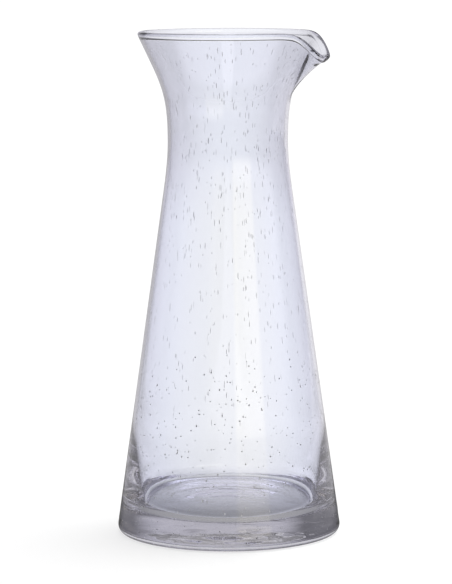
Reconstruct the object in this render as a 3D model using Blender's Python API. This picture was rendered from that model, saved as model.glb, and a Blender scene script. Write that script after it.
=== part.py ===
"""Carafe of seeded glass: heavy round base, straight cone, waisted neck, flared mouth and a pulled spout.

Metres, +Z up. The origin is the middle of the standing face, and the spout points along +X. The real
vessel is one piece of glass. Here it is divided into the zones that are shaped one after the other, each
a closed solid, and neighbouring zones are kept a hairline apart.
"""

import math

import bmesh
import bpy
from mathutils import Vector

# Outer shape
HEIGHT = 0.260  # standing face to the top of the rim
BASE_DIAMETER = 0.1168  # where the lines of the cone's wall meet the table
HEEL_RADIUS = 0.004  # rounding between the standing face and the cone
SHOULDER_DIAMETER = 0.0687  # top of the straight cone
NECK_LENGTH = 0.033  # top of the cone to the waist
NECK_DIAMETER = 0.062  # outside of the waist, the narrowest place
FLARE_HEIGHT = 0.0565  # waist to the top of the rim
FLARE_ANGLE = math.radians(25)  # lean of the wall under the rim, from upright
FLARE_BEND = 0.47  # how far the ends of the flare's curve pull, as a share of its height
RIM_DIAMETER = 0.0924  # outside of the rounded rim

# Thickness of the glass
WALL = 0.0016
RIM_THICKNESS = 0.0031  # round bead along the edge of the mouth, standing inwards
FOOT_WALL = 0.0072  # wall where it rises from the rounded inner corner
FOOT_FADE = 0.0345  # height over which the foot thins to the plain wall
FOOT_CURVE = 1.5  # how the foot thins: 1 is a straight taper, more is hollower
FLOOR_HEIGHT = 0.012  # standing face to the inner floor
FLOOR_CORNER = 0.0095  # height of the rounding between the floor and the wall
FLOOR_EASE = 0.009  # width of that rounding across the floor
STANDING_RING = 0.009  # width of the flat ring that the vessel stands on
HOLLOW_DEPTH = 0.0012  # rise of the shallow hollow inside that ring

# Spout
SPOUT_LENGTH = 0.033  # top of the rim down to the keel's root
SPOUT_REACH = 0.00735  # how far the lip is pulled out
SPOUT_DIP = 0.01215  # how far the lip is pulled down
SPOUT_HALF_ANGLE = math.radians(21)  # half of the channel's width at the lip, seen from above
ROOT_HALF_ANGLE = math.radians(1.5)  # half of the channel's width at the keel's root
DIP_HALF_ANGLE = math.radians(14.2)  # from the lip's low place round to where it dips half as much
DIP_SKEW = math.radians(3.6)  # how far round the lip's low place lies from its furthest place
DIP_CURVE = 2.0  # squareness of the dip's curve round the lip: 2 is a plain bell
DIP_GROWTH = 1.45  # how the dip gathers towards the lip: 1 is even
KEEL_ROUNDING = 0.17  # rounding of the keel, as a share of the channel's half width
CREASE_ROUNDING = 0.30  # softness of the creases beside the channel, as a share of the same
LIP_SWELL = 0.42  # how much thicker the rim's bead is at the tip of the lip, as a share of it
LIP_DEPTH = 0.008  # how far below the edge that thickening starts
SPOUT_MARGIN = math.radians(5)  # wall on each side of the channel that belongs to the spout's zone

# Zones
BASE_COLLAR = 0.004  # straight wall that the base zone has above its inner corner
RIM_BAND = 0.0055  # height of the rim zone
JOIN_GAP = 0.0003  # hairline between neighbouring zones

# Facets
RING_STEPS = 72
SPOUT_STEPS = 20
RIM_STEPS = 108
ARC_STEPS = 5
BODY_ROW_COUNT = 9
NECK_ROW_COUNT = 6
MOUTH_ROW_COUNT = 6
RIM_ROW_COUNT = 6
SHARP_ANGLE = math.radians(40)
CURVE_HALVINGS = 50  # halvings in the search for a height on a curve
WELD_DISTANCE = 1e-6

# Finish
GLASS_COLOUR = (0.86, 0.87, 0.93, 1.0)
GLASS_ROUGHNESS = 0.03
GLASS_IOR = 1.5

# Heights that follow from the sizes above
SHOULDER = HEIGHT - FLARE_HEIGHT - NECK_LENGTH
WAIST = HEIGHT - FLARE_HEIGHT
WALL_END = HEIGHT - RIM_THICKNESS / 2 * (1 + math.sin(FLARE_ANGLE))
CORNER_TOP = FLOOR_HEIGHT + FLOOR_CORNER
BASE_TOP = CORNER_TOP + BASE_COLLAR
SPOUT_ROOT = HEIGHT - SPOUT_LENGTH
RIM_BOTTOM = HEIGHT - RIM_BAND


def cubic(controls, t):
    """Point and direction of a cubic curve at t, from its four control points."""
    a, b, c, d = controls
    s = 1 - t
    point = a * s**3 + b * (3 * s * s * t) + c * (3 * s * t * t) + d * t**3
    direction = (b - a) * (s * s) + (c - b) * (2 * s * t) + (d - c) * (t * t)
    return point, direction.normalized()


def wall_curves():
    """Outer wall from table to rim, as three cubic curves in (radius, height): cone, neck and flare."""
    foot = Vector((BASE_DIAMETER / 2, 0))
    shoulder = Vector((SHOULDER_DIAMETER / 2, SHOULDER))
    waist = Vector((NECK_DIAMETER / 2, WAIST))
    rim = Vector((RIM_DIAMETER / 2 - RIM_THICKNESS / 2 * (1 - math.cos(FLARE_ANGLE)), WALL_END))
    cone_step = (shoulder - foot) / 3
    neck_step = NECK_LENGTH / 3
    neck_pull = cone_step * (neck_step / cone_step.y)
    flare_pull = (WALL_END - WAIST) * FLARE_BEND
    flare_end = Vector((math.tan(FLARE_ANGLE), 1)) * flare_pull
    cone = (foot, foot + cone_step, shoulder - cone_step, shoulder)
    neck = (shoulder, shoulder + neck_pull, waist - Vector((0, neck_step)), waist)
    flare = (waist, waist + Vector((0, flare_pull)), rim - flare_end, rim)
    return cone, neck, flare


WALL_CURVES = wall_curves()


def outer_wall(height):
    """Point of the outer wall at a height, and the wall's outward normal, in (radius, height)."""
    controls = next((c for c in WALL_CURVES if height <= c[3].y), WALL_CURVES[-1])
    low, high = 0.0, 1.0
    for _ in range(CURVE_HALVINGS):
        middle = (low + high) / 2
        if cubic(controls, middle)[0].y < height:
            low = middle
        else:
            high = middle
    point, direction = cubic(controls, high)
    return point, Vector((direction.y, -direction.x))


def thickness(height):
    """Glass thickness, square to the outer wall: thick at the foot, thin above, and a round bead at the rim."""
    foot = (FOOT_WALL - WALL) * max(0.0, 1 - (height - CORNER_TOP) / FOOT_FADE) ** FOOT_CURVE
    below = min(1.0, 2 * (WALL_END - height) / RIM_THICKNESS)
    bead = RIM_THICKNESS / 2 * (1 + math.sqrt(1 - below * below))
    return max(WALL + foot, bead)


def inner_wall(height):
    """Point of the inner wall, straight through the glass from the outer wall at a height."""
    point, normal = outer_wall(height)
    return point - normal * thickness(height)


def heights(low, high, rows):
    """Evenly spaced heights from low to high."""
    return [low + (high - low) * i / rows for i in range(rows + 1)]


def arc(centre, radius, start, end):
    """Points along an arc in (radius, height), angles from the outward direction."""
    angles = [start + (end - start) * i / ARC_STEPS for i in range(ARC_STEPS + 1)]
    return [centre + Vector((math.cos(a), math.sin(a))) * radius for a in angles]


def band_outline(low, high, rows):
    """Cross-section of the wall between two heights, half a hairline short of each."""
    levels = heights(low + JOIN_GAP / 2, high - JOIN_GAP / 2, rows)
    return [outer_wall(z)[0] for z in levels] + [inner_wall(z) for z in reversed(levels)]


def base_outline():
    """Half cross-section of the base, from the axis under it round to the axis on the inner floor."""
    lean = math.atan2((BASE_DIAMETER - SHOULDER_DIAMETER) / 2, SHOULDER)
    heel_line = outer_wall(HEEL_RADIUS)[0].x
    heel_centre = Vector((heel_line - HEEL_RADIUS / math.cos(lean), HEEL_RADIUS))
    ring_inside = heel_centre.x - STANDING_RING
    hollow = []
    for i in range(ARC_STEPS + 1):
        share = i / ARC_STEPS
        rise = HOLLOW_DEPTH * (1 + math.cos(math.pi * share)) / 2
        hollow.append(Vector((ring_inside * share, rise)))
    heel = arc(heel_centre, HEEL_RADIUS, -math.pi / 2, lean)

    top = BASE_TOP - JOIN_GAP / 2
    wall_foot = inner_wall(CORNER_TOP)
    rising = inner_wall(BASE_TOP) - wall_foot
    corner = wall_foot - rising * ((wall_foot.y - FLOOR_HEIGHT) / rising.y)
    floor_edge = corner - Vector((FLOOR_EASE, 0))
    rounding = []
    for i in range(ARC_STEPS + 1):
        t = i / ARC_STEPS
        rounding.append(wall_foot * (1 - t) ** 2 + corner * (2 * t * (1 - t)) + floor_edge * t**2)
    inside = [inner_wall(top)] + rounding + [Vector((0, FLOOR_HEIGHT))]
    return hollow + heel + [outer_wall(top)[0]] + inside


def rim_outline():
    """Cross-section of the rim: the end of the wall, closed by a half round."""
    levels = heights(RIM_BOTTOM + JOIN_GAP / 2, WALL_END, RIM_ROW_COUNT)
    end, normal = outer_wall(WALL_END)
    centre = end - normal * (RIM_THICKNESS / 2)
    lean = math.atan2(normal.y, normal.x)
    half_round = arc(centre, RIM_THICKNESS / 2, lean, lean + math.pi)
    outside = [outer_wall(z)[0] for z in levels[:-1]]
    inside = [inner_wall(z) for z in reversed(levels[:-1])]
    return outside + half_round + inside


def fold(offset):
    """Height of a straight fold with a rounded ridge and soft feet: 1 on the ridge, 0 well outside."""
    slope = (1 - math.hypot(offset, KEEL_ROUNDING)) / CREASE_ROUNDING
    ridge = (1 - KEEL_ROUNDING) / CREASE_ROUNDING
    return math.log1p(math.exp(slope)) / math.log1p(math.exp(ridge))


def bell(offset):
    """Height of a smooth bell: 1 in the middle, a half at an offset of 1 on either side."""
    return 0.5 ** (abs(offset) ** DIP_CURVE)


def pulled(point):
    """Where a point of the plain turned vessel goes when the spout is pulled out and down, its tip thickened."""
    share = (point.z - SPOUT_ROOT) / SPOUT_LENGTH
    if share <= 0:
        return point.copy()
    angle = math.atan2(point.y, point.x)
    half_angle = ROOT_HALF_ANGLE + (SPOUT_HALF_ANGLE - ROOT_HALF_ANGLE) * share
    keel = fold(angle / half_angle)
    in_bead = min(1.0, max(0.0, (point.z - HEIGHT + LIP_DEPTH) / (LIP_DEPTH - RIM_THICKNESS)))
    swell = 1 + LIP_SWELL * keel**2 * in_bead
    radius = RIM_DIAMETER / 2 + (math.hypot(point.x, point.y) - RIM_DIAMETER / 2) * swell
    height = HEIGHT + (point.z - HEIGHT) * swell
    radius += SPOUT_REACH * share * keel
    height -= SPOUT_DIP * share**DIP_GROWTH * bell((angle + DIP_SKEW) / DIP_HALF_ANGLE)
    return Vector((radius * math.cos(angle), radius * math.sin(angle), height))


def glass(name):
    """Clear, faintly lavender glass."""
    material = bpy.data.materials.new(name)
    material.use_nodes = True
    shader = material.node_tree.nodes["Principled BSDF"]
    shader.inputs["Base Color"].default_value = GLASS_COLOUR
    shader.inputs["Roughness"].default_value = GLASS_ROUGHNESS
    shader.inputs["Metallic"].default_value = 0.0
    shader.inputs["IOR"].default_value = GLASS_IOR
    shader.inputs["Transmission Weight"].default_value = 1.0
    return material


def turned(name, outline, steps, start=0.0, sweep=math.tau):
    """Turn an outline about +Z, close it, pull the spout and make it one named glass object."""
    mesh = bmesh.new()
    turn = (math.cos(start), math.sin(start))
    loop = [mesh.verts.new((p.x * turn[0], p.x * turn[1], p.y)) for p in outline]
    edges = [mesh.edges.new(pair) for pair in zip(loop, loop[1:])]
    if outline[0].x > 0:
        edges.append(mesh.edges.new((loop[-1], loop[0])))
    bmesh.ops.spin(
        mesh, geom=loop + edges, cent=(0, 0, 0), axis=(0, 0, 1), dvec=(0, 0, 0), angle=sweep, steps=steps
    )
    bmesh.ops.remove_doubles(mesh, verts=mesh.verts[:], dist=WELD_DISTANCE)
    open_edges = [edge for edge in mesh.edges if edge.is_boundary]
    if open_edges:
        bmesh.ops.holes_fill(mesh, edges=open_edges)
    for vert in mesh.verts:
        vert.co = pulled(vert.co)
    bmesh.ops.recalc_face_normals(mesh, faces=mesh.faces[:])

    data = bpy.data.meshes.new(name)
    mesh.to_mesh(data)
    mesh.free()
    data.shade_smooth()
    data.set_sharp_from_angle(angle=SHARP_ANGLE)
    data.materials.append(glass(name + "_glass"))
    piece = bpy.data.objects.new(name, data)
    bpy.context.scene.collection.objects.link(piece)
    return piece


def main():
    for old in list(bpy.data.objects):
        bpy.data.objects.remove(old)
    seam = SPOUT_HALF_ANGLE + SPOUT_MARGIN
    half_gap = JOIN_GAP / NECK_DIAMETER
    mouth = band_outline(SPOUT_ROOT, RIM_BOTTOM, MOUTH_ROW_COUNT)
    turned("base", base_outline(), RING_STEPS)
    turned("body", band_outline(BASE_TOP, SHOULDER, BODY_ROW_COUNT), RING_STEPS)
    turned("neck", band_outline(SHOULDER, SPOUT_ROOT, NECK_ROW_COUNT), RING_STEPS)
    turned("flare", mouth, RING_STEPS, seam + half_gap, math.tau - 2 * (seam + half_gap))
    turned("spout", mouth, SPOUT_STEPS, half_gap - seam, 2 * (seam - half_gap))
    turned("rim", rim_outline(), RIM_STEPS)


main()
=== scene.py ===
"""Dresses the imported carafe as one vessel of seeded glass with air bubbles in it, on a studio stage."""

import math
import random
from typing import NamedTuple

import bpy
import numpy as np
from bpy.props import FloatProperty, FloatVectorProperty, IntProperty, PointerProperty
from bpy.types import NodeSocket, Operator, Panel, PropertyGroup
from mathutils import Matrix, Vector, noise


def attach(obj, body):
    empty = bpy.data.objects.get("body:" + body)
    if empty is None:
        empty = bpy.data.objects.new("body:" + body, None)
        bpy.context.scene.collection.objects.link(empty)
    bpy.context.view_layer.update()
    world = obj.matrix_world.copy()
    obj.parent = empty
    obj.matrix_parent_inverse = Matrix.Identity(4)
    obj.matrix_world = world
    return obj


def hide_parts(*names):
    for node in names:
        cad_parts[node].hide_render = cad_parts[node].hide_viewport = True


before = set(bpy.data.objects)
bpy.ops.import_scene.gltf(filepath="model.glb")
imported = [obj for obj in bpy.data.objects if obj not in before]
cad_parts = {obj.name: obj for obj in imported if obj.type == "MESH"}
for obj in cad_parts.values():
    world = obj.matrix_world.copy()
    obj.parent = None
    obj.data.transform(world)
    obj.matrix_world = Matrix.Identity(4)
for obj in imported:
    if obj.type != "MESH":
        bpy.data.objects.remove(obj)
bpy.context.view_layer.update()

bl_info = {
    "name": "Seeded Glass Carafe",
    "version": (1, 0, 0),
    "blender": (4, 5, 0),
    "location": "View3D > Sidebar > Carafe",
    "description": "Makes a mouth-blown carafe of seeded glass with a pulled spout, on a white studio stage",
    "category": "Add Mesh",
}

NODES = ("base", "body", "neck", "flare", "spout", "rim")
VESSEL = "carafe_vessel"

# What all colour settings share, white, and the directions of the world
TINT = {"subtype": "COLOR", "min": 0.0, "max": 1.0}
WHITE = (1.0, 1.0, 1.0)
RIGHT = Vector((1, 0, 0))
BACK = Vector((0, 1, 0))
UP = Vector((0, 0, 1))

# Points along each stretch of the outline, close together where the glass is thick or bends sharply
HOLLOW_POINTS = 26
HEEL_POINTS = 10
FOOT_POINTS = 34
CONE_POINTS = 16
NECK_POINTS = 14
FLARE_POINTS = 24
LIP_POINTS = 6
RIM_POINTS = 14
BEAD_POINTS = 9
INNER_FLARE_POINTS = 25
INNER_CONE_POINTS = 34
CORNER_POINTS = 22
FLOOR_RING_POINTS = 26
FLOOR_MIDDLE_POINTS = 15

# Where the spacing of those points changes, in metres, and steps of the outline's sums
FOOT_TOP = 0.033
FLOOR_MIDDLE = 0.022
BEAD_CLEARANCE = 1.2
SLOPE_STEP = 0.1
HALVINGS = 50

# Waves of the glass in metres: rings and lumps of level faces, tall waves and flat streaks of the wall
RING_SPACING = 0.011
RING_DEPTH = 0.00004
FINE_SPACING = 0.0034
FINE_DEPTH = 0.00003
FINE_RADIUS = 0.036
FINE_REACH = 0.011
LUMP_DEPTH = 0.00008
CALM_WIDTH = 0.014
CALM_FADE = 0.006
TALL_DEPTH = 0.00001
STREAK_DEPTH = 0.00009

# Noise in those waves: which normals count as level, bends of the rings, and cells of the noise
LEVEL_NORMAL = 0.75
RING_BEND = 3
RING_GRAIN = 40
FINE_BEND = 2
FINE_GRAIN = 60
FINE_LAYER = 0.3
LUMP_GRAIN = 110
LUMP_RISE = 5
LUMP_SMOOTHNESS = 0.9
TALL_ROUND = 4.0
TALL_RISE = 22
TALL_OUTWARDS = 400
STREAK_ROUND = 1.7
STREAK_RISE = 300
STREAK_OUTWARDS = 90
STREAK_SMOOTHNESS = 0.8
OCTAVES = 3
OCTAVE_STEP = 2.0

# Bubbles: range of each size as shares of its usual value, and how they crowd and lie in the wall
WALL_WIDTHS = (0.5, 1.4)
WALL_LENGTHS = (0.3, 1.8)
FOOT_WIDTHS = (0.4, 1.1)
FOOT_LENGTHS = (0.9, 1.6)
BASE_WIDTHS = (0.25, 0.7)
CROWDING = 0.8
DEEPEST = 0.5

# Tints of the glass, darker towards edge on partly for the longer passage and partly as painted shade of the
# dark edges, and darker in the neck and mouth as painted shade: where on the way from face on to edge on, and
# where in height, they change
HALF_SLANT = 0.27
MOUTH_SLANT = 0.32
FULL_SLANT = 0.7
MOUTH_SHARE = 0.7
MOUTH_SHADE_HEIGHTS = (0.160, 0.205)

# Where the mirrored floor changes, a painted reflection with painted dark cards beside the foot and painted
# shade under the base: metres to the right, to either side, ahead or from the axis
FAR_RIGHT = (-0.6, 0.6)
NEAR_RIGHT = (-0.3, 0.3)
BESIDE_AHEAD = (-0.25, 0.05)
MIDDLE_SIDES = (0.030, 0.050)
FLAG_SIDES = (0.08, 0.14)
FRONT_AHEAD = (0.2, 0.8)
UNDER_AHEAD = (-0.01, 0.03)
UNDER_REACH = (0.058, 0.082)

# Where the glow of the floor changes, in the same measures: painted shadow under and close behind the base,
# painted light beside it on the right
SHADE_AHEAD = (-0.030, 0.015)
RING_REACH = (0.042, 0.052)
SHADE_TURN = (-0.03, 0.03)
BACK_SHADE = (0.054, 0.064)
FRONT_SHADE = (0.034, 0.047)
# GLOW_RIGHT and GLOW_REACH: where the painted light beside the base on the right lies
GLOW_RIGHT = (0.0, 0.045)
GLOW_REACH = (0.068, 0.095)
# BEHIND_RIGHT to BEHIND_AHEAD: where the painted shadow close behind the base lies
BEHIND_RIGHT = (-0.020, 0.012)
BEHIND_REACH = (0.062, 0.092)
BEHIND_SIDES = (0.034, 0.050)
BEHIND_AHEAD = (-0.055, -0.030)
FAR_AHEAD = (-3.8, -2.8)

# Where the mirrored room changes: parts of a ray's direction that point up, right or back
FLAG_RIGHT = (-0.5, 0.5)
FLAG_RISE = (0.03, 0.12)
WALL_RIGHT = (0.0, 0.6)
WALL_RISE = (-0.02, 0.10)
CEILING_RISE = (0.11, 0.23)
HIGH_RISE = (0.40, 0.62)
BEHIND_RISE = (0.20, 0.34)
FLAG_BACK = (-0.2, 0.2)
FLAG_SWAP = (-0.1, 0.1)
LEFT_FLAG_END = (0.83, 0.965)
RIGHT_FLAG_END = (0.62, 0.92)
ZENITH_RISE = (0.75, 0.95)
PANEL_AHEAD = (0.0, 0.3)
PANEL_FOOT = 0.05
PANEL_SHOULDER = 0.06
PANEL_FADE = 0.30

# Bounces of light in all and through the glass, and bounces off it
BOUNCES = 32
GLOSSY_BOUNCES = 16


class CarafeShape(PropertyGroup):
    """Sizes of the blown vessel and its spout."""

    height: FloatProperty(
        name="Height", description="Standing face to the top of the rim", default=0.260, unit="LENGTH"
    )
    base_diameter: FloatProperty(
        name="Base diameter", description="Where the cone's lines meet the table",
        default=0.1168, unit="LENGTH",
    )
    heel_radius: FloatProperty(
        name="Heel radius", description="Rounding of the base's lower edge", default=0.004, unit="LENGTH"
    )
    shoulder_diameter: FloatProperty(
        name="Shoulder diameter", description="Top of the straight cone", default=0.0687, unit="LENGTH"
    )
    neck_length: FloatProperty(
        name="Neck length", description="Top of the cone to the waist", default=0.033, unit="LENGTH"
    )
    neck_diameter: FloatProperty(
        name="Neck diameter", description="Outside of the waist", default=0.062, unit="LENGTH"
    )
    flare_height: FloatProperty(
        name="Flare height", description="Waist to the top of the rim", default=0.0565, unit="LENGTH"
    )
    flare_angle: FloatProperty(
        name="Flare angle", description="Lean of the wall under the rim",
        default=math.radians(25), subtype="ANGLE",
    )
    flare_bend: FloatProperty(
        name="Flare bend", description="Pull at the ends of the flare's curve", default=0.47, subtype="FACTOR"
    )
    rim_diameter: FloatProperty(
        name="Rim diameter", description="Outside of the rounded rim", default=0.0924, unit="LENGTH"
    )
    wall: FloatProperty(name="Wall", description="Thickness of the upper wall", default=0.0016, unit="LENGTH")
    rim_thickness: FloatProperty(
        name="Rim thickness", description="Thickness of the rounded rim", default=0.0031, unit="LENGTH"
    )
    foot_wall: FloatProperty(
        name="Foot wall", description="Thickness of the wall above the inner corner",
        default=0.0072, unit="LENGTH",
    )
    foot_fade: FloatProperty(
        name="Foot fade", description="Height over which the foot thins to the wall",
        default=0.0345, unit="LENGTH",
    )
    foot_curve: FloatProperty(
        name="Foot curve", description="How the foot thins: 1 is a straight taper, more is hollower",
        default=1.5,
    )
    floor_height: FloatProperty(
        name="Floor height", description="Standing face to the inner floor", default=0.012, unit="LENGTH"
    )
    floor_corner: FloatProperty(
        name="Floor corner", description="Height of the rounding from floor to wall",
        default=0.0095, unit="LENGTH",
    )
    floor_ease: FloatProperty(
        name="Floor ease", description="Width of that rounding across the floor", default=0.009, unit="LENGTH"
    )
    standing_ring: FloatProperty(
        name="Standing ring", description="Width of the flat ring it stands on", default=0.009, unit="LENGTH"
    )
    hollow_depth: FloatProperty(
        name="Hollow depth", description="Rise of the hollow under the base", default=0.0012, unit="LENGTH"
    )
    spout_length: FloatProperty(
        name="Spout length", description="Top of the rim down to the keel's root",
        default=0.033, unit="LENGTH",
    )
    spout_reach: FloatProperty(
        name="Spout reach", description="How far the lip is pulled out", default=0.00735, unit="LENGTH"
    )
    spout_dip: FloatProperty(
        name="Spout dip", description="How far the lip is pulled down", default=0.01215, unit="LENGTH"
    )
    spout_half_angle: FloatProperty(
        name="Spout half angle", description="Half of the channel's width at the lip",
        default=math.radians(21), subtype="ANGLE",
    )
    root_half_angle: FloatProperty(
        name="Root half angle", description="Half of the channel's width at its root",
        default=math.radians(1.5), subtype="ANGLE",
    )
    dip_half_angle: FloatProperty(
        name="Dip half angle", description="From the lip's low place to where it dips half as much",
        default=math.radians(14.2), subtype="ANGLE",
    )
    dip_skew: FloatProperty(
        name="Dip skew", description="How far round the lip's low place lies",
        default=math.radians(3.6), subtype="ANGLE",
    )
    dip_curve: FloatProperty(
        name="Dip curve", description="Squareness of the dip's curve round the lip: 2 is a plain bell",
        default=2.0,
    )
    dip_growth: FloatProperty(
        name="Dip growth", description="How the dip gathers towards the lip: 1 is even", default=1.45
    )
    keel_rounding: FloatProperty(
        name="Keel rounding", description="Rounding of the keel, as a share of its half width",
        default=0.17, subtype="FACTOR",
    )
    crease_rounding: FloatProperty(
        name="Crease rounding", description="Softness of the creases beside the channel",
        default=0.30, subtype="FACTOR",
    )
    lip_swell: FloatProperty(
        name="Lip swell", description="How much thicker the rim's bead is at the tip of the lip",
        default=0.42, subtype="FACTOR",
    )
    lip_depth: FloatProperty(
        name="Lip depth", description="How far below the edge that thickening starts",
        default=0.008, unit="LENGTH",
    )
    turn_steps: IntProperty(name="Turn steps", description="Facets round the vessel", default=264)


class SeedSettings(PropertyGroup):
    """The air bubbles in the glass."""

    wall_count: IntProperty(name="Wall bubbles", description="Drawn-out bubbles in the wall", default=880)
    foot_count: IntProperty(name="Foot bubbles", description="Rounder bubbles low in the wall", default=400)
    base_count: IntProperty(name="Base bubbles", description="Small bubbles in the heavy bottom", default=110)
    wall_length: FloatProperty(
        name="Wall bubble length", description="Usual length of a drawn-out bubble",
        default=0.0022, unit="LENGTH",
    )
    wall_width: FloatProperty(
        name="Wall bubble width", description="Usual width of a drawn-out bubble",
        default=0.00024, unit="LENGTH",
    )
    foot_width: FloatProperty(
        name="Foot bubble width", description="Usual width of a bubble low down",
        default=0.00085, unit="LENGTH",
    )
    wall_start: FloatProperty(
        name="Wall start", description="Inner floor to the lowest drawn-out bubble",
        default=0.050, unit="LENGTH",
    )
    rim_margin: FloatProperty(
        name="Rim margin", description="Highest bubble to the end of the wall", default=0.003, unit="LENGTH"
    )
    foot_start: FloatProperty(
        name="Foot start", description="Inner floor to the lowest round bubble", default=0.004, unit="LENGTH"
    )
    foot_span: FloatProperty(
        name="Foot span", description="Height that the round bubbles take up", default=0.070, unit="LENGTH"
    )
    skin: FloatProperty(name="Skin", description="Glass over a wall bubble", default=0.0002, unit="LENGTH")
    base_skin: FloatProperty(
        name="Base skin", description="Glass over a bubble in the bottom", default=0.001, unit="LENGTH"
    )
    pattern: IntProperty(name="Pattern", description="Start of the scatter", default=7)


class GlassFinish(PropertyGroup):
    """Colour and clearness of the glass."""

    colour: FloatVectorProperty(
        name="Colour", description="Tint of one passage straight through the wall",
        default=(0.922, 0.932, 0.957), **TINT,
    )
    # From face on to edge on the tints darken, partly for the longer passage and partly as painted shade of
    # the glass's dark edges
    half_colour: FloatVectorProperty(
        name="Half slant", description="Tint part-way round the wall", default=(0.882, 0.898, 0.966), **TINT
    )
    slant_depth_and_shade: FloatVectorProperty(
        name="Slant colour", description="Tint of a slanting passage, which is longer",
        default=(0.845, 0.847, 0.925), **TINT,
    )
    # The neck and mouth tints are darker than the body's: painted shade
    mouth_clear: FloatVectorProperty(
        name="Clear mouth colour", description="Tint of a straight passage in the neck and mouth",
        default=(0.902, 0.917, 0.965), **TINT,
    )
    mouth_shade_colour: FloatVectorProperty(
        name="Mouth colour", description="Tint of a slanting passage in the neck and mouth",
        default=(0.74, 0.737, 0.80), **TINT,
    )
    # Edge on, the tint is painted shade that darkens the glass's edges
    painted_edge_shade: FloatVectorProperty(
        name="Edge colour", description="Tint where the glass is seen edge on",
        default=(0.30, 0.30, 0.32), **TINT,
    )
    ior: FloatProperty(name="IOR", description="Index of refraction", default=1.5)
    roughness: FloatProperty(name="Roughness", description="Surface roughness", default=0.0, subtype="FACTOR")
    depth_colour: FloatVectorProperty(
        name="Depth colour", description="Colour that thick glass goes towards",
        default=(0.50, 0.48, 0.51), **TINT,
    )
    depth_density: FloatProperty(name="Depth density", description="Its strength per metre", default=9.0)


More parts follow.
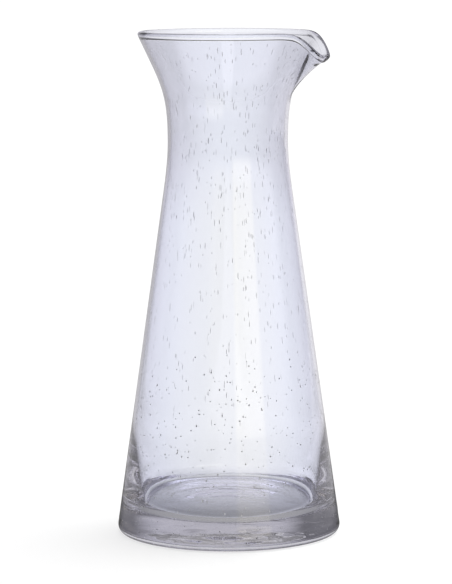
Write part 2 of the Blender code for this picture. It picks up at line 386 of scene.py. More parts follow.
class StageSettings(PropertyGroup):
    """Floor, light and camera."""

    floor_length: FloatProperty(name="Floor length", description="Along the view", default=8.0, unit="LENGTH")
    floor_width: FloatProperty(name="Floor width", description="Across the view", default=4.0, unit="LENGTH")
    floor_gap: FloatProperty(
        name="Floor gap", description="Air under the standing ring", default=0.0002, unit="LENGTH"
    )
    floor_colour: FloatVectorProperty(
        name="Floor colour", description="Pale studio floor", default=(0.34, 0.34, 0.34), **TINT
    )
    floor_glow: FloatProperty(
        name="Floor glow", description="Light that keeps the floor white", default=0.645
    )
    glow_far: FloatProperty(name="Glow far away", description="Light of the floor's far end", default=0.62)
    # More glow beside the base on the right: painted light that lifts the shadow there
    painted_light_right: FloatProperty(
        name="Right glow", description="Light beside the base on the right", default=0.75
    )
    # Lower glow close behind the base: painted shadow
    shadow_behind: FloatProperty(
        name="Glow behind", description="Light close behind, on the left", default=0.50
    )
    shadow_behind_right: FloatProperty(
        name="Glow behind right", description="Light close behind, on the right", default=0.585
    )
    # Lower glow under the base and its standing ring: painted shadow
    shadow_under_back: FloatProperty(
        name="Glow under the back", description="Light under the back of the base", default=0.60
    )
    shadow_under_front: FloatProperty(
        name="Glow under the front", description="Light under the front of the base", default=0.22
    )
    shadow_under_ring: FloatProperty(name="Ring glow", description="Light under the standing ring", default=0.25)
    # The mirrored floor shows only in the glass: a painted reflection
    mirror_colour: FloatVectorProperty(
        name="Mirrored floor", description="Colour of the mirrored floor", default=(0.97, 0.955, 0.98), **TINT
    )
    floor_middle: FloatProperty(
        name="Floor middle", description="Mirrored floor in line with the carafe", default=0.95
    )
    # floor_flag: painted dark cards beside the foot, in the mirrored floor
    floor_flag: FloatProperty(name="Floor flags", description="Mirrored floor beside the foot", default=0.18)
    floor_front: FloatProperty(name="Floor front", description="Mirrored floor far in front", default=0.40)
    # Darker mirrored floor under the base: painted shade
    mirrored_shade_under_back: FloatProperty(
        name="Floor under the back", description="Mirrored floor under the back of the base", default=0.20
    )
    mirrored_shade_under_front: FloatProperty(
        name="Floor under the front", description="Mirrored floor under the front of the base", default=0.42
    )
    floor_left: FloatProperty(name="Floor left", description="Mirrored floor to the left", default=0.25)
    floor_right: FloatProperty(name="Floor right", description="Mirrored floor to the right", default=0.45)
    floor_far_left: FloatProperty(
        name="Floor far left", description="Mirrored floor behind, far to the left", default=0.60
    )
    floor_far_right: FloatProperty(
        name="Floor far right", description="Mirrored floor behind, far to the right", default=0.95
    )
    backdrop: FloatProperty(name="Backdrop", description="Light of the white beyond the floor", default=1.05)
    fill: FloatProperty(name="Fill", description="Brightness of the soft light from all round", default=0.7)
    room_colour: FloatVectorProperty(
        name="Room colour", description="Colour of the room that the glass mirrors",
        default=(0.88, 0.865, 0.94), **TINT,
    )
    flag_left: FloatProperty(name="Left flag", description="Dark card behind on the left", default=0.27)
    flag_right: FloatProperty(name="Right flag", description="Dark card behind on the right", default=0.28)
    flag_foot: FloatProperty(name="Under the flags", description="Room under the dark cards", default=0.65)
    walls: FloatProperty(name="Walls", description="Room's walls before and behind the carafe", default=0.9)
    right_wall: FloatProperty(
        name="Right wall", description="Room's wall before the carafe, to the right", default=1.6
    )
    ceiling: FloatProperty(name="Ceiling", description="Room before the carafe, higher up", default=0.70)
    ceiling_back: FloatProperty(name="Ceiling behind", description="Room behind, higher up", default=0.50)
    high_front: FloatProperty(
        name="High front", description="Room before, high above the camera", default=1.9
    )
    zenith: FloatProperty(name="Zenith", description="Room straight overhead", default=1.0)
    strip_colour: FloatVectorProperty(
        name="Strip colour", description="Colour of the tall soft strip", default=(1.0, 0.89, 0.46), **TINT
    )
    strip_light: FloatProperty(name="Strip light", description="Brightness of that strip", default=1.05)
    strip_azimuth: FloatProperty(
        name="Strip azimuth", description="Turn of the strip to the right of the camera",
        default=math.radians(26.5), subtype="ANGLE",
    )
    haze_share: FloatProperty(
        name="Haze", description="Brightness of the pale panel by the camera, as a share of the strip's",
        default=0.32, subtype="FACTOR",
    )
    haze_azimuth: FloatProperty(
        name="Haze azimuth", description="Turn of the pale panel to the right of the camera",
        default=math.radians(-7), subtype="ANGLE",
    )
    sun: FloatProperty(
        name="Key light", description="Strength of the soft key light, watts per square metre", default=1.8
    )
    sun_azimuth: FloatProperty(
        name="Key azimuth", description="Turn of the key light to the right of the camera",
        default=math.radians(128), subtype="ANGLE",
    )
    sun_rise: FloatProperty(
        name="Key rise", description="Height of the key light above the table",
        default=math.radians(70), subtype="ANGLE",
    )
    sun_angle: FloatProperty(
        name="Key size", description="Width of the key light", default=math.radians(38), subtype="ANGLE"
    )
    camera_azimuth: FloatProperty(
        name="Camera azimuth", description="Turn of the camera about the vessel",
        default=math.radians(12), subtype="ANGLE",
    )
    camera_distance: FloatProperty(
        name="Camera distance", description="Level distance from the axis", default=1.5478, unit="LENGTH"
    )
    camera_height: FloatProperty(
        name="Camera height", description="Height above the floor", default=0.31676, unit="LENGTH"
    )
    camera_pitch: FloatProperty(
        name="Camera pitch", description="Downward tilt", default=math.radians(7.052), subtype="ANGLE"
    )
    camera_roll: FloatProperty(
        name="Camera roll", description="Roll about the view", default=math.radians(-0.16), subtype="ANGLE"
    )
    camera_offset: FloatProperty(
        name="Camera offset", description="Sideways step to the left", default=0.00119, unit="LENGTH"
    )
    lens: FloatProperty(name="Lens", description="Focal length in millimetres", default=185.7)


def deselect_all():
    """Object mode, with nothing selected."""
    if bpy.context.object and bpy.context.object.mode != "OBJECT":
        bpy.ops.object.mode_set(mode="OBJECT")
    bpy.ops.object.select_all(action="DESELECT")


def cubic(controls, t):
    """Point and direction of a cubic curve at t, from its four control points."""
    a, b, c, d = controls
    s = 1 - t
    point = a * s**3 + b * (3 * s * s * t) + c * (3 * s * t * t) + d * t**3
    direction = (b - a) * (s * s) + (c - b) * (2 * s * t) + (d - c) * (t * t)
    return point, direction.normalized()


def arc(centre, radius, start, end, count):
    """Points along an arc in (radius, height)."""
    return [centre + Vector((math.cos(a), math.sin(a))) * radius for a in np.linspace(start, end, count)]


class Wall:
    """The vessel's wall in (radius, height): outside, thickness, inside and whole outline."""

    def __init__(self, shape):
        self.shape = shape
        self.waist = shape.height - shape.flare_height
        self.shoulder = self.waist - shape.neck_length
        self.lean = math.atan2((shape.base_diameter - shape.shoulder_diameter) / 2, self.shoulder)
        self.bead = shape.rim_thickness / 2
        self.end = shape.height - self.bead * (1 + math.sin(shape.flare_angle))
        self.corner_top = shape.floor_height + shape.floor_corner
        foot = Vector((shape.base_diameter / 2, 0))
        shoulder = Vector((shape.shoulder_diameter / 2, self.shoulder))
        waist = Vector((shape.neck_diameter / 2, self.waist))
        rim = Vector((shape.rim_diameter / 2 - self.bead * (1 - math.cos(shape.flare_angle)), self.end))
        cone_step = (shoulder - foot) / 3
        neck_step = shape.neck_length / 3
        neck_pull = cone_step * (neck_step / cone_step.y)
        flare_pull = (self.end - self.waist) * shape.flare_bend
        flare_end = Vector((math.tan(shape.flare_angle), 1)) * flare_pull
        self.curves = (
            (foot, foot + cone_step, shoulder - cone_step, shoulder),
            (shoulder, shoulder + neck_pull, waist - Vector((0, neck_step)), waist),
            (waist, waist + Vector((0, flare_pull)), rim - flare_end, rim),
        )

    def outer(self, height):
        """Point of the outer wall at a height, and its outward normal."""
        controls = next((c for c in self.curves if height <= c[3].y), self.curves[-1])
        low, high = 0.0, 1.0
        for _ in range(HALVINGS):
            middle = (low + high) / 2
            if cubic(controls, middle)[0].y < height:
                low = middle
            else:
                high = middle
        point, direction = cubic(controls, high)
        return point, Vector((direction.y, -direction.x))

    def thickness(self, height):
        """Thick at the foot, thin above, and at the rim a round bead that stands inwards."""
        shape = self.shape
        left = max(0.0, 1 - (height - self.corner_top) / shape.foot_fade)
        foot = (shape.foot_wall - shape.wall) * left**shape.foot_curve
        below = min(1.0, (self.end - height) / self.bead)
        return max(shape.wall + foot, self.bead * (1 + math.sqrt(1 - below * below)))

    def inner(self, height):
        """Point of the inner wall, straight through the glass from the outer wall at a height."""
        point, normal = self.outer(height)
        return point - normal * self.thickness(height)

    def outline(self):
        """Half cross-section, from the axis under the base round to the axis on the inner floor."""
        return self.underside() + self.outside() + self.inside() + self.floor()

    def underside(self):
        """Hollow under the base, standing ring and heel."""
        shape = self.shape
        heel_x = self.outer(shape.heel_radius)[0].x - shape.heel_radius / math.cos(self.lean)
        heel = Vector((heel_x, shape.heel_radius))
        ring_inside = heel.x - shape.standing_ring
        points = []
        for share in np.linspace(0, 1, HOLLOW_POINTS):
            rise = shape.hollow_depth * (1 + math.cos(math.pi * share)) / 2
            points.append(Vector((ring_inside * share, rise)))
        return points + arc(heel, shape.heel_radius, -math.pi / 2, self.lean, HEEL_POINTS)

    def outside(self):
        """Outer wall from the heel upwards, and the rounded rim."""
        heel_top = self.shape.heel_radius * (1 + math.sin(self.lean))
        lip = self.end - self.shape.rim_thickness
        levels = np.concatenate(
            (
                np.linspace(heel_top, FOOT_TOP, FOOT_POINTS)[1:],
                np.linspace(FOOT_TOP, self.shoulder, CONE_POINTS)[1:],
                np.linspace(self.shoulder, self.waist, NECK_POINTS)[1:],
                np.linspace(self.waist, lip, FLARE_POINTS)[1:],
                np.linspace(lip, self.end, LIP_POINTS)[1:-1],
            )
        )
        end, normal = self.outer(self.end)
        tilt = math.atan2(normal.y, normal.x)
        rim = arc(end - normal * self.bead, self.bead, tilt, tilt + math.pi, RIM_POINTS)
        return [self.outer(level)[0] for level in levels] + rim

    def inside(self):
        """Inner wall from the rim down to the rounding above the floor."""
        levels = np.concatenate(
            (
                self.end - self.bead * np.sin(np.linspace(0, math.pi / 2, BEAD_POINTS)[1:]),
                np.linspace(self.end - BEAD_CLEARANCE * self.bead, self.waist, INNER_FLARE_POINTS)[:-1],
                np.linspace(self.waist, self.shoulder, NECK_POINTS)[:-1],
                np.linspace(self.shoulder, self.corner_top, INNER_CONE_POINTS),
            )
        )
        return [self.inner(level) for level in levels]

    def floor(self):
        """Rounding from the inner wall to the floor, and the floor to the axis."""
        shape = self.shape
        wall_foot = self.inner(self.corner_top)
        rising = self.inner(self.corner_top + SLOPE_STEP * shape.wall) - wall_foot
        corner = wall_foot - rising * ((wall_foot.y - shape.floor_height) / rising.y)
        edge = corner - Vector((shape.floor_ease, 0))
        points = []
        for t in np.linspace(0, 1, CORNER_POINTS)[1:]:
            points.append(wall_foot * (1 - t) ** 2 + corner * (2 * t * (1 - t)) + edge * t**2)
        radii = np.concatenate(
            (
                np.linspace(edge.x, FLOOR_MIDDLE, FLOOR_RING_POINTS)[1:],
                np.linspace(FLOOR_MIDDLE, 0, FLOOR_MIDDLE_POINTS)[1:],
            )
        )
        return points + [Vector((radius, shape.floor_height)) for radius in radii]


def fold(shape, offset):
    """Height of a straight fold with a rounded ridge and soft feet: 1 on the ridge, 0 well outside."""
    slope = (1 - np.hypot(offset, shape.keel_rounding)) / shape.crease_rounding
    ridge = (1 - shape.keel_rounding) / shape.crease_rounding
    return np.logaddexp(0, slope) / np.logaddexp(0, ridge)


def pull_spout(shape, points):
    """Where points of the plain turned vessel go when the spout is pulled out and down."""
    plain_radius, plain_height = np.hypot(points[:, 0], points[:, 1]), points[:, 2]
    share = np.maximum((plain_height - (shape.height - shape.spout_length)) / shape.spout_length, 0)
    angle = np.arctan2(points[:, 1], points[:, 0])
    half_angle = shape.root_half_angle + (shape.spout_half_angle - shape.root_half_angle) * share
    bell = 0.5 ** (np.abs((angle + shape.dip_skew) / shape.dip_half_angle) ** shape.dip_curve)
    keel = fold(shape, angle / half_angle)
    lip_start = shape.height - shape.lip_depth
    in_bead = np.clip((plain_height - lip_start) / (shape.lip_depth - shape.rim_thickness), 0, 1)
    swell = 1 + shape.lip_swell * keel**2 * in_bead
    radius = shape.rim_diameter / 2 + (plain_radius - shape.rim_diameter / 2) * swell
    height = shape.height + (plain_height - shape.height) * swell
    radius = radius + shape.spout_reach * share * keel
    height = height - shape.spout_dip * share**shape.dip_growth * bell
    return np.column_stack((radius * np.cos(angle), radius * np.sin(angle), height))


def floor_wave(shape, place):
    """Height of the waves of the inner floor and the underside: rings and lumps, calm at the edge."""
    x, y, z = place
    radius = math.hypot(x, y)
    bend = RING_BEND * noise.noise(Vector((x, y, 0)) * RING_GRAIN)
    rings = math.sin(math.tau * radius / RING_SPACING + bend)
    bend = FINE_BEND * noise.noise(Vector((x, y, FINE_LAYER)) * FINE_GRAIN)
    fine = math.sin(math.tau * radius / FINE_SPACING + bend)
    band = max(0.0, 1 - abs(radius - FINE_RADIUS) / FINE_REACH)
    cell = Vector((x, y, LUMP_RISE * z)) * LUMP_GRAIN
    lumps = noise.fractal(cell, LUMP_SMOOTHNESS, OCTAVE_STEP, OCTAVES)
    inside = (shape.base_diameter / 2 - CALM_WIDTH - radius) / CALM_FADE
    wave = RING_DEPTH * rings + LUMP_DEPTH * lumps + FINE_DEPTH * band * fine
    return min(1.0, max(0.0, inside)) * wave


def wall_wave(shape, place):
    """Height of the waves of the wall: faint tall ones, and flat streaks in the heavy base."""
    x, y, z = place
    radius = math.hypot(x, y)
    angle = math.atan2(y, x)
    across, along = math.cos(angle), math.sin(angle)
    layer = z * TALL_RISE + radius * TALL_OUTWARDS
    tall = noise.noise(Vector((across * TALL_ROUND, along * TALL_ROUND, layer)))
    layer = z * STREAK_RISE + radius * STREAK_OUTWARDS
    cell = Vector((across * STREAK_ROUND, along * STREAK_ROUND, layer))
    streaks = noise.fractal(cell, STREAK_SMOOTHNESS, OCTAVE_STEP, OCTAVES)
    heavy = min(1.0, max(0.0, (shape.floor_height + shape.heel_radius - z) / shape.heel_radius))
    foot = min(1.0, z / shape.heel_radius)
    return TALL_DEPTH * tall + STREAK_DEPTH * heavy * foot * streaks


def ripple_glass(shape, mesh):
    """Give the turned surfaces the slight waves of hand-worked glass."""
    moved = []
    for vert, normal in zip(mesh.vertices, mesh.vertex_normals):
        wave = floor_wave if abs(normal.vector.z) > LEVEL_NORMAL else wall_wave
        moved.extend(vert.co + normal.vector * wave(shape, vert.co))
    mesh.vertices.foreach_set("co", moved)


class Graph:
    """Short ways to add and wire the nodes of a material or a world."""

    def __init__(self, tree):
        self.nodes = tree.nodes
        self.links = tree.links

    def add(self, kind, **inputs):
        """New shader node of a kind, with constants or other nodes' sockets on its inputs."""
        node = self.nodes.new(f"ShaderNode{kind}")
        for name, value in inputs.items():
            self.feed(node.inputs[name], value)
        return node

    def feed(self, socket, value):
        """Put a constant on a socket, or link another node's socket to it."""
        if isinstance(value, NodeSocket):
            self.links.new(value, socket)
        else:
            socket.default_value = value

    def calculate(self, kind, operation, *values):
        """Socket with the result of a math node's operation on values or vectors."""
        node = self.add(kind)
        node.operation = operation
        for socket, value in zip(node.inputs, values):
            self.feed(socket, value)
        return node.outputs["Value"]

    def along(self, where, direction):
        """Socket that tells how far a place or a ray lies along a direction."""
        return self.calculate("VectorMath", "DOT_PRODUCT", where, direction)

    def size(self, value):
        """Socket with a value that has lost its sign."""
        return self.calculate("Math", "ABSOLUTE", value)

    def ramp(self, value, span, from_level, to_level):
        """Socket that goes softly from one level to another as a value crosses a span."""
        node = self.add("MapRange", Value=value)
        node.interpolation_type = "SMOOTHSTEP"
        for name, level in zip(("From Min", "From Max", "To Min", "To Max"), (*span, from_level, to_level)):
            self.feed(node.inputs[name], level)
        return node.outputs["Result"]

    def tints(self, value, first, last, between):
        """Socket with a colour that goes from first to last with a value, by way of those between."""
        node = self.add("ValToRGB", Fac=value)
        stops = node.color_ramp.elements
        stops[0].color = (*first, 1.0)
        stops[1].color = (*last, 1.0)
        for place, colour in between:
            stops.new(place).color = (*colour, 1.0)
        return node.outputs["Color"]

    def light(self, kind, colour, strength):
        """Shader that shines in a colour: an Emission, or a world's Background."""
        return self.add(kind, Color=(*colour, 1.0), Strength=strength).outputs[0]

    def both(self, first, second):
        """Shader with the light of two."""
        both = self.add("AddShader")
        self.feed(both.inputs[0], first)
        self.feed(both.inputs[1], second)
        return both.outputs[0]

    def by_mirror(self, seen, mirrored):
        """Shader that looks one way straight or through the glass, and another way mirrored in it."""
        mix = self.add("MixShader", Fac=self.add("LightPath").outputs["Glossy Depth"])
        self.feed(mix.inputs[1], seen)
        self.feed(mix.inputs[2], mirrored)
        return mix.outputs[0]


def seeded_glass(finish):
    """Clear glass with a faint lavender-grey tint, deeper where it is thick, deeper where it slants partly
    for the longer passage and partly as painted shade, and darker in the neck and mouth as painted shade.
    """
    material = bpy.data.materials.new("seeded_glass")
    material.use_nodes = True
    graph = Graph(material.node_tree)
    # The tints darken towards edge on: partly the longer passage, partly painted shade of the dark edges
    slant = graph.add("LayerWeight").outputs["Facing"]
    between = ((HALF_SLANT, finish.half_colour), (FULL_SLANT, finish.slant_depth_and_shade))
    body = graph.tints(slant, finish.colour, finish.painted_edge_shade, between)
    # Higher up, in the neck and mouth, the tints turn darker: painted shade
    nearly = Vector(finish.mouth_clear).lerp(Vector(finish.mouth_shade_colour), MOUTH_SHARE)
    between = ((MOUTH_SLANT, nearly), (FULL_SLANT, finish.mouth_shade_colour))
    mouth = graph.tints(slant, finish.mouth_clear, finish.painted_edge_shade, between)
    height = graph.along(graph.add("TexCoord").outputs["Object"], UP)
    tint = graph.add("Mix")
    tint.data_type = "RGBA"
    graph.feed(tint.inputs["Factor"], graph.ramp(height, MOUTH_SHADE_HEIGHTS, 0.0, 1.0))
    graph.feed(tint.inputs["A"], body)
    graph.feed(tint.inputs["B"], mouth)
    shader = graph.nodes["Principled BSDF"]
    graph.feed(shader.inputs["Base Color"], tint.outputs["Result"])
    graph.feed(shader.inputs["Roughness"], finish.roughness)
    graph.feed(shader.inputs["IOR"], finish.ior)
    graph.feed(shader.inputs["Transmission Weight"], 1.0)
    depth = graph.add("VolumeAbsorption", Color=(*finish.depth_colour, 1.0), Density=finish.depth_density)
    graph.feed(graph.nodes["Material Output"].inputs["Volume"], depth.outputs["Volume"])
    return material


class CARAFE_OT_vessel(Operator):
    """Turn the vessel from its outline, pull the spout and give it the glass"""

    bl_idname = "carafe.vessel"
    bl_label = "Blow the Vessel"

    def execute(self, context):
        shape = context.scene.carafe_shape
        points = Wall(shape).outline()
        deselect_all()
        bpy.ops.mesh.primitive_plane_add(size=shape.wall, location=(points[0].x, 0, points[0].y))
        vessel = context.object
        vessel.name = vessel.data.name = VESSEL
        bpy.ops.object.mode_set(mode="EDIT")
        bpy.ops.mesh.select_all(action="SELECT")
        bpy.ops.mesh.merge(type="CENTER")
        for here, there in zip(points, points[1:]):
            step = there - here
            bpy.ops.mesh.extrude_vertices_move(TRANSFORM_OT_translate={"value": (step.x, 0, step.y)})
        bpy.ops.mesh.select_all(action="SELECT")
        bpy.ops.mesh.spin(steps=shape.turn_steps, angle=math.tau, center=(0, 0, 0), axis=(0, 0, 1))
        bpy.ops.mesh.select_all(action="SELECT")
        bpy.ops.mesh.remove_doubles(threshold=1e-5)
        bpy.ops.mesh.normals_make_consistent(inside=False)
        bpy.ops.object.mode_set(mode="OBJECT")
        bpy.ops.object.transform_apply(location=True, rotation=True, scale=True)
        ripple_glass(shape, vessel.data)
        places = np.empty(len(vessel.data.vertices) * 3)
        vessel.data.vertices.foreach_get("co", places)
        vessel.data.vertices.foreach_set("co", pull_spout(shape, places.reshape(-1, 3)).ravel())
        vessel.data.update()
        bpy.ops.object.shade_smooth()
        vessel.data.materials.append(seeded_glass(context.scene.carafe_glass))
        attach(vessel, "root")
        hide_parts(*NODES)
        return {"FINISHED"}


class Bubble(NamedTuple):
    """A bubble: centre and normal in (radius, height), turn about the axis, and half its sizes."""

    centre: Vector
    normal: Vector
    angle: float
    half_width: float
    half_length: float
    half_depth: float

    def matrix(self, shape):
        """Matrix that puts a unit ball in this bubble's place, size and direction."""
        spin = Matrix.Rotation(self.angle, 3, "Z")
        out = spin @ Vector((self.normal.x, 0, self.normal.y))
        up = spin @ Vector((-self.normal.y, 0, self.normal.x))
        axes = (out * self.half_depth, up.cross(out) * self.half_width, up * self.half_length)
        plain = spin @ Vector((self.centre.x, 0, self.centre.y))
        matrix = Matrix(axes).transposed().to_4x4()
        matrix.translation = pull_spout(shape, np.array([plain]))[0]
        return matrix


def wall_bubble(shape, seeds, wall, chance, low_down):
    """One bubble in the wall: drawn out, or rounder low down."""
    if low_down:
        height = shape.floor_height + seeds.foot_start + seeds.foot_span * chance.random()
        width = seeds.foot_width * chance.uniform(*FOOT_WIDTHS)
        length = width * chance.uniform(*FOOT_LENGTHS)
    else:
        low = shape.floor_height + seeds.wall_start
        height = low + (wall.end - seeds.rim_margin - low) * chance.random() ** CROWDING
        width = seeds.wall_width * chance.uniform(*WALL_WIDTHS)
        length = seeds.wall_length * chance.uniform(*WALL_LENGTHS)
    angle = chance.uniform(-math.pi, math.pi)
    point, normal = wall.outer(height)
    thickness = wall.thickness(height)
    depth = min(width, thickness * DEEPEST)
    margin = depth / 2 + seeds.skin
    centre = point - normal * chance.uniform(margin, max(thickness - margin, margin))
    return Bubble(centre, normal, angle, width / 2, length / 2, depth / 2)


def base_bubble(shape, seeds, chance):
    """One small round bubble in the heavy bottom."""
    half = seeds.foot_width * chance.uniform(*BASE_WIDTHS) / 2
    radius = (shape.base_diameter / 2 - shape.heel_radius) * math.sqrt(chance.random())
    height = chance.uniform(shape.hollow_depth + seeds.base_skin, shape.floor_height - seeds.base_skin)
    angle = chance.uniform(-math.pi, math.pi)
    return Bubble(Vector((radius, height)), Vector((1, 0)), angle, half, half, half)


class CARAFE_OT_seeds(Operator):
    """Scatter air bubbles through the glass, as hollows in the vessel's own mesh"""

    bl_idname = "carafe.seeds"
    bl_label = "Scatter the Bubbles"

    def execute(self, context):
        shape = context.scene.carafe_shape
        seeds = context.scene.carafe_seeds
        wall = Wall(shape)
        chance = random.Random(seeds.pattern)
        bubbles = [wall_bubble(shape, seeds, wall, chance, False) for _ in range(seeds.wall_count)]
        bubbles += [wall_bubble(shape, seeds, wall, chance, True) for _ in range(seeds.foot_count)]
        bubbles += [base_bubble(shape, seeds, chance) for _ in range(seeds.base_count)]
        deselect_all()
        bpy.ops.mesh.primitive_uv_sphere_add(segments=6, ring_count=4, radius=1.0)
        ball = context.object
        bpy.ops.object.shade_smooth()
        copies = []
        for bubble in bubbles:
            data = ball.data.copy()
            data.transform(bubble.matrix(shape))
            copies.append(bpy.data.objects.new("seed", data))
            context.scene.collection.objects.link(copies[-1])
        bpy.data.objects.remove(ball)
        deselect_all()
        for copy in copies:
            copy.select_set(True)
        context.view_layer.objects.active = copies[0]
        bpy.ops.object.join()
        bpy.ops.object.mode_set(mode="EDIT")
        bpy.ops.mesh.select_all(action="SELECT")
        bpy.ops.mesh.normals_make_consistent(inside=True)
        bpy.ops.object.mode_set(mode="OBJECT")
        vessel = bpy.data.objects[VESSEL]
        vessel.select_set(True)
        context.view_layer.objects.active = vessel
        # The bubbles bring no material: the join gives them an empty slot, which renders as plain grey
        bpy.ops.object.join()
        return {"FINISHED"}


class FloorPlace:
    """Sockets that tell where a point of the floor lies, as the camera sees the vessel."""

    def __init__(self, graph, azimuth):
        where = graph.add("TexCoord").outputs["Object"]
        turned = Matrix.Rotation(azimuth, 3, "Z")
        self.right = graph.along(where, turned @ RIGHT)
        self.sides = graph.size(self.right)
        self.ahead = graph.along(where, turned @ -BACK)
        self.reach = graph.calculate("VectorMath", "LENGTH", where)


def mirrored_floor(graph, place, stage):
    """Brightness of the floor where the glass mirrors it: a painted reflection, with painted dark cards
    beside the foot and painted shade under the base.
    """
    far = graph.ramp(place.right, FAR_RIGHT, stage.floor_far_left, stage.floor_far_right)
    near = graph.ramp(place.right, NEAR_RIGHT, stage.floor_left, stage.floor_right)
    beside = graph.ramp(place.ahead, BESIDE_AHEAD, far, near)
    level = graph.ramp(place.sides, MIDDLE_SIDES, stage.floor_middle, stage.floor_flag)
    level = graph.ramp(place.sides, FLAG_SIDES, level, beside)
    level = graph.ramp(place.ahead, FRONT_AHEAD, level, stage.floor_front)
    # Under the base the mirrored floor darkens: painted shade
    under = graph.ramp(place.ahead, UNDER_AHEAD, stage.mirrored_shade_under_back, stage.mirrored_shade_under_front)
    return graph.ramp(place.reach, UNDER_REACH, under, level)


def floor_glow(graph, place, stage):
    """Glow that keeps the floor white, with painted shadow under the base and close behind it, and painted
    light beside the base on the right.
    """
    # Under the base the glow drops: painted shadow
    under = graph.ramp(place.ahead, SHADE_AHEAD, stage.shadow_under_back, stage.shadow_under_front)
    under = graph.ramp(place.reach, RING_REACH, under, stage.shadow_under_ring)
    # Beside the base on the right the glow rises: painted light
    open_floor = graph.ramp(place.right, GLOW_RIGHT, stage.floor_glow, stage.painted_light_right)
    open_floor = graph.ramp(place.reach, GLOW_REACH, open_floor, stage.floor_glow)
    # Close behind the base the glow drops: painted shadow
    behind = graph.ramp(place.right, BEHIND_RIGHT, stage.shadow_behind, stage.shadow_behind_right)
    behind = graph.ramp(place.reach, BEHIND_REACH, behind, stage.floor_glow)
    behind = graph.ramp(place.sides, BEHIND_SIDES, behind, open_floor)
    open_floor = graph.ramp(place.ahead, BEHIND_AHEAD, behind, open_floor)
    open_floor = graph.ramp(place.ahead, FAR_AHEAD, stage.glow_far, open_floor)
    edge = [graph.ramp(place.ahead, SHADE_TURN, *ends) for ends in zip(BACK_SHADE, FRONT_SHADE)]
    return graph.ramp(place.reach, edge, under, open_floor)


def lay_floor(context, stage):
    """White floor that keeps the vessel's shadow, with painted shadow and light in its glow, and its own
    painted brightness, a painted reflection, in the glass's mirror.
    """
    deselect_all()
    bpy.ops.mesh.primitive_plane_add(size=stage.floor_length, location=(0, 0, -stage.floor_gap))
    floor = context.object
    floor.scale.x = stage.floor_width / stage.floor_length
    floor.rotation_euler.z = stage.camera_azimuth
    floor.name = "studio_floor"
    bpy.ops.object.transform_apply(location=True, rotation=True, scale=True)
    material = bpy.data.materials.new("studio_floor")
    material.use_nodes = True
    material.node_tree.nodes.clear()
    graph = Graph(material.node_tree)
    place = FloorPlace(graph, stage.camera_azimuth)
    paint = graph.add("BsdfDiffuse", Color=(*stage.floor_colour, 1.0)).outputs[0]
    seen = graph.both(paint, graph.light("Emission", WHITE, floor_glow(graph, place, stage)))
    mirrored = graph.light("Emission", stage.mirror_colour, mirrored_floor(graph, place, stage))
    graph.add("OutputMaterial", Surface=graph.by_mirror(seen, mirrored))
    floor.data.materials.append(material)


def mirrored_room(graph, stage, where):
    """Brightness of the room that the glass mirrors, without its lit panels."""
    turned = Matrix.Rotation(stage.camera_azimuth, 3, "Z")
    rise = graph.along(where, UP)
    right = graph.along(where, turned @ RIGHT)
    back = graph.along(where, turned @ BACK)
    flags = graph.ramp(right, FLAG_RIGHT, stage.flag_left, stage.flag_right)
    flags = graph.ramp(rise, FLAG_RISE, stage.flag_foot, flags)
    before = graph.ramp(right, WALL_RIGHT, stage.walls, stage.right_wall)
    before = graph.ramp(rise, WALL_RISE, stage.floor_front, before)
    before = graph.ramp(rise, CEILING_RISE, before, stage.ceiling)
    before = graph.ramp(rise, HIGH_RISE, before, stage.high_front)
    behind = graph.ramp(rise, BEHIND_RISE, stage.walls, stage.ceiling_back)
    level = graph.ramp(back, FLAG_BACK, before, flags)
    flag_end = [graph.ramp(right, FLAG_SWAP, *ends) for ends in zip(LEFT_FLAG_END, RIGHT_FLAG_END)]
    level = graph.ramp(back, flag_end, level, behind)
    return graph.ramp(rise, ZENITH_RISE, level, stage.zenith)


def lit_panel(graph, where, azimuth, light, half_width, soft, bottom, top):
    """Brightness of a soft upright panel that stands in a direction and fades out upwards."""
    aimed = Matrix.Rotation(azimuth, 3, "Z")
    rise = graph.along(where, UP)
    sides = graph.size(graph.along(where, aimed @ RIGHT))
    ahead = graph.along(where, aimed @ -BACK)
    glow = graph.ramp(sides, (half_width - soft, half_width + soft), light, 0.0)
    glow = graph.ramp(ahead, PANEL_AHEAD, 0.0, glow)
    glow = graph.ramp(rise, (bottom - PANEL_FOOT, bottom + PANEL_FOOT), 0.0, glow)
    return graph.ramp(rise, (top - PANEL_SHOULDER, top + PANEL_FADE), glow, 0.0)


def build_room(scene, stage):
    """White backdrop, with a room of walls, dark cards and lit panels in the glass's mirror."""
    scene.world = bpy.data.worlds.new("studio")
    scene.world.use_nodes = True
    scene.world.node_tree.nodes.clear()
    graph = Graph(scene.world.node_tree)
    where = graph.add("TexCoord").outputs["Generated"]
    strip = lit_panel(
        graph, where, stage.camera_azimuth + stage.strip_azimuth, stage.strip_light,
        half_width=0.30, soft=0.05, bottom=0.04, top=0.22,
    )
    haze = lit_panel(
        graph, where, stage.camera_azimuth + stage.haze_azimuth, stage.strip_light * stage.haze_share,
        half_width=0.34, soft=0.12, bottom=0.10, top=0.22,
    )
    lights_floor = graph.add("LightPath").outputs["Is Diffuse Ray"]
    backdrop = graph.ramp(lights_floor, (0.0, 1.0), stage.backdrop, stage.fill)
    seen = graph.light("Background", WHITE, backdrop)
    room = graph.light("Background", stage.room_colour, mirrored_room(graph, stage, where))
    panels = graph.light("Background", stage.strip_colour, graph.calculate("Math", "ADD", strip, haze))
    graph.add("OutputWorld", Surface=graph.by_mirror(seen, graph.both(room, panels)))


def hang_key_light(scene, stage):
    """Broad soft key light, which casts the floor's shadow and isn't seen in the glass."""
    azimuth = stage.camera_azimuth + stage.sun_azimuth
    data = bpy.data.lights.new("key_light", "SUN")
    data.energy = stage.sun
    data.angle = stage.sun_angle
    lamp = bpy.data.objects.new("key_light", data)
    lamp.location = (math.sin(azimuth), -math.cos(azimuth), math.tan(stage.sun_rise))
    lamp.rotation_euler = (-lamp.location).to_track_quat("-Z", "Y").to_euler()
    lamp.visible_glossy = lamp.visible_transmission = False
    scene.collection.objects.link(lamp)


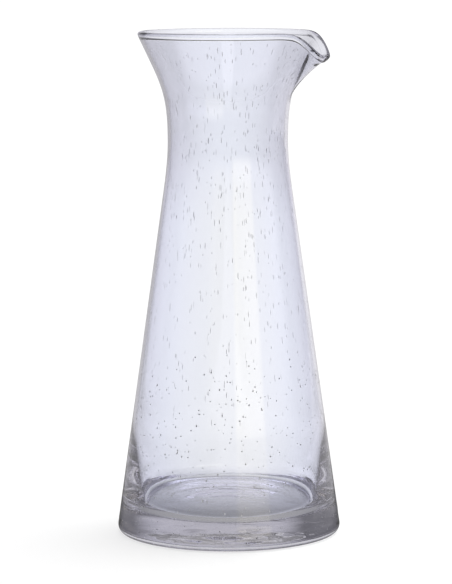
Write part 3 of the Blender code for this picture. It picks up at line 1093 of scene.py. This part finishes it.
def set_camera(scene, stage):
    """Camera of the photograph."""
    turned = Matrix.Rotation(stage.camera_azimuth, 4, "Z")
    tilt = Matrix.Rotation(math.pi / 2 - stage.camera_pitch, 4, "X")
    roll = Matrix.Rotation(stage.camera_roll, 4, "Z")
    place = turned @ Vector((-stage.camera_offset, -stage.camera_distance, stage.camera_height))
    data = bpy.data.cameras.new("photo_view")
    data.lens = stage.lens
    camera = bpy.data.objects.new("photo_view", data)
    camera.matrix_world = Matrix.Translation(place) @ turned @ tilt @ roll
    scene.collection.objects.link(camera)
    scene.camera = camera


class CARAFE_OT_stage(Operator):
    """Set the white floor, the soft light and the camera"""

    bl_idname = "carafe.stage"
    bl_label = "Set the Stage"

    def execute(self, context):
        scene = context.scene
        stage = scene.carafe_stage
        scene.view_settings.view_transform = "Standard"
        scene.cycles.max_bounces = BOUNCES
        scene.cycles.glossy_bounces = GLOSSY_BOUNCES
        scene.cycles.transmission_bounces = BOUNCES
        lay_floor(context, stage)
        build_room(scene, stage)
        hang_key_light(scene, stage)
        set_camera(scene, stage)
        return {"FINISHED"}


class CARAFE_PT_sidebar(Panel):
    """Lists the carafe's operators and settings"""

    bl_idname = "CARAFE_PT_sidebar"
    bl_label = "Carafe"
    bl_space_type = "VIEW_3D"
    bl_region_type = "UI"
    bl_category = "Carafe"

    def draw(self, context):
        for operator in OPERATORS:
            self.layout.operator(operator.bl_idname)
        for name, group in GROUPS.items():
            box = self.layout.box()
            for setting in group.__annotations__:
                box.prop(getattr(context.scene, name), setting)


GROUPS = {
    "carafe_shape": CarafeShape,
    "carafe_seeds": SeedSettings,
    "carafe_glass": GlassFinish,
    "carafe_stage": StageSettings,
}
OPERATORS = (CARAFE_OT_vessel, CARAFE_OT_seeds, CARAFE_OT_stage)


def register():
    """Tell Blender of the settings, operators and panel."""
    for name, group in GROUPS.items():
        bpy.utils.register_class(group)
        setattr(bpy.types.Scene, name, PointerProperty(type=group))
    for tool in (*OPERATORS, CARAFE_PT_sidebar):
        bpy.utils.register_class(tool)


def unregister():
    """Take them away again."""
    for tool in (CARAFE_PT_sidebar, *reversed(OPERATORS)):
        bpy.utils.unregister_class(tool)
    for name, group in reversed(GROUPS.items()):
        delattr(bpy.types.Scene, name)
        bpy.utils.unregister_class(group)


def main():
    """Make the carafe and its stage."""
    register()
    bpy.ops.carafe.vessel()
    bpy.ops.carafe.seeds()
    bpy.ops.carafe.stage()


if __name__ == "__main__":
    main()
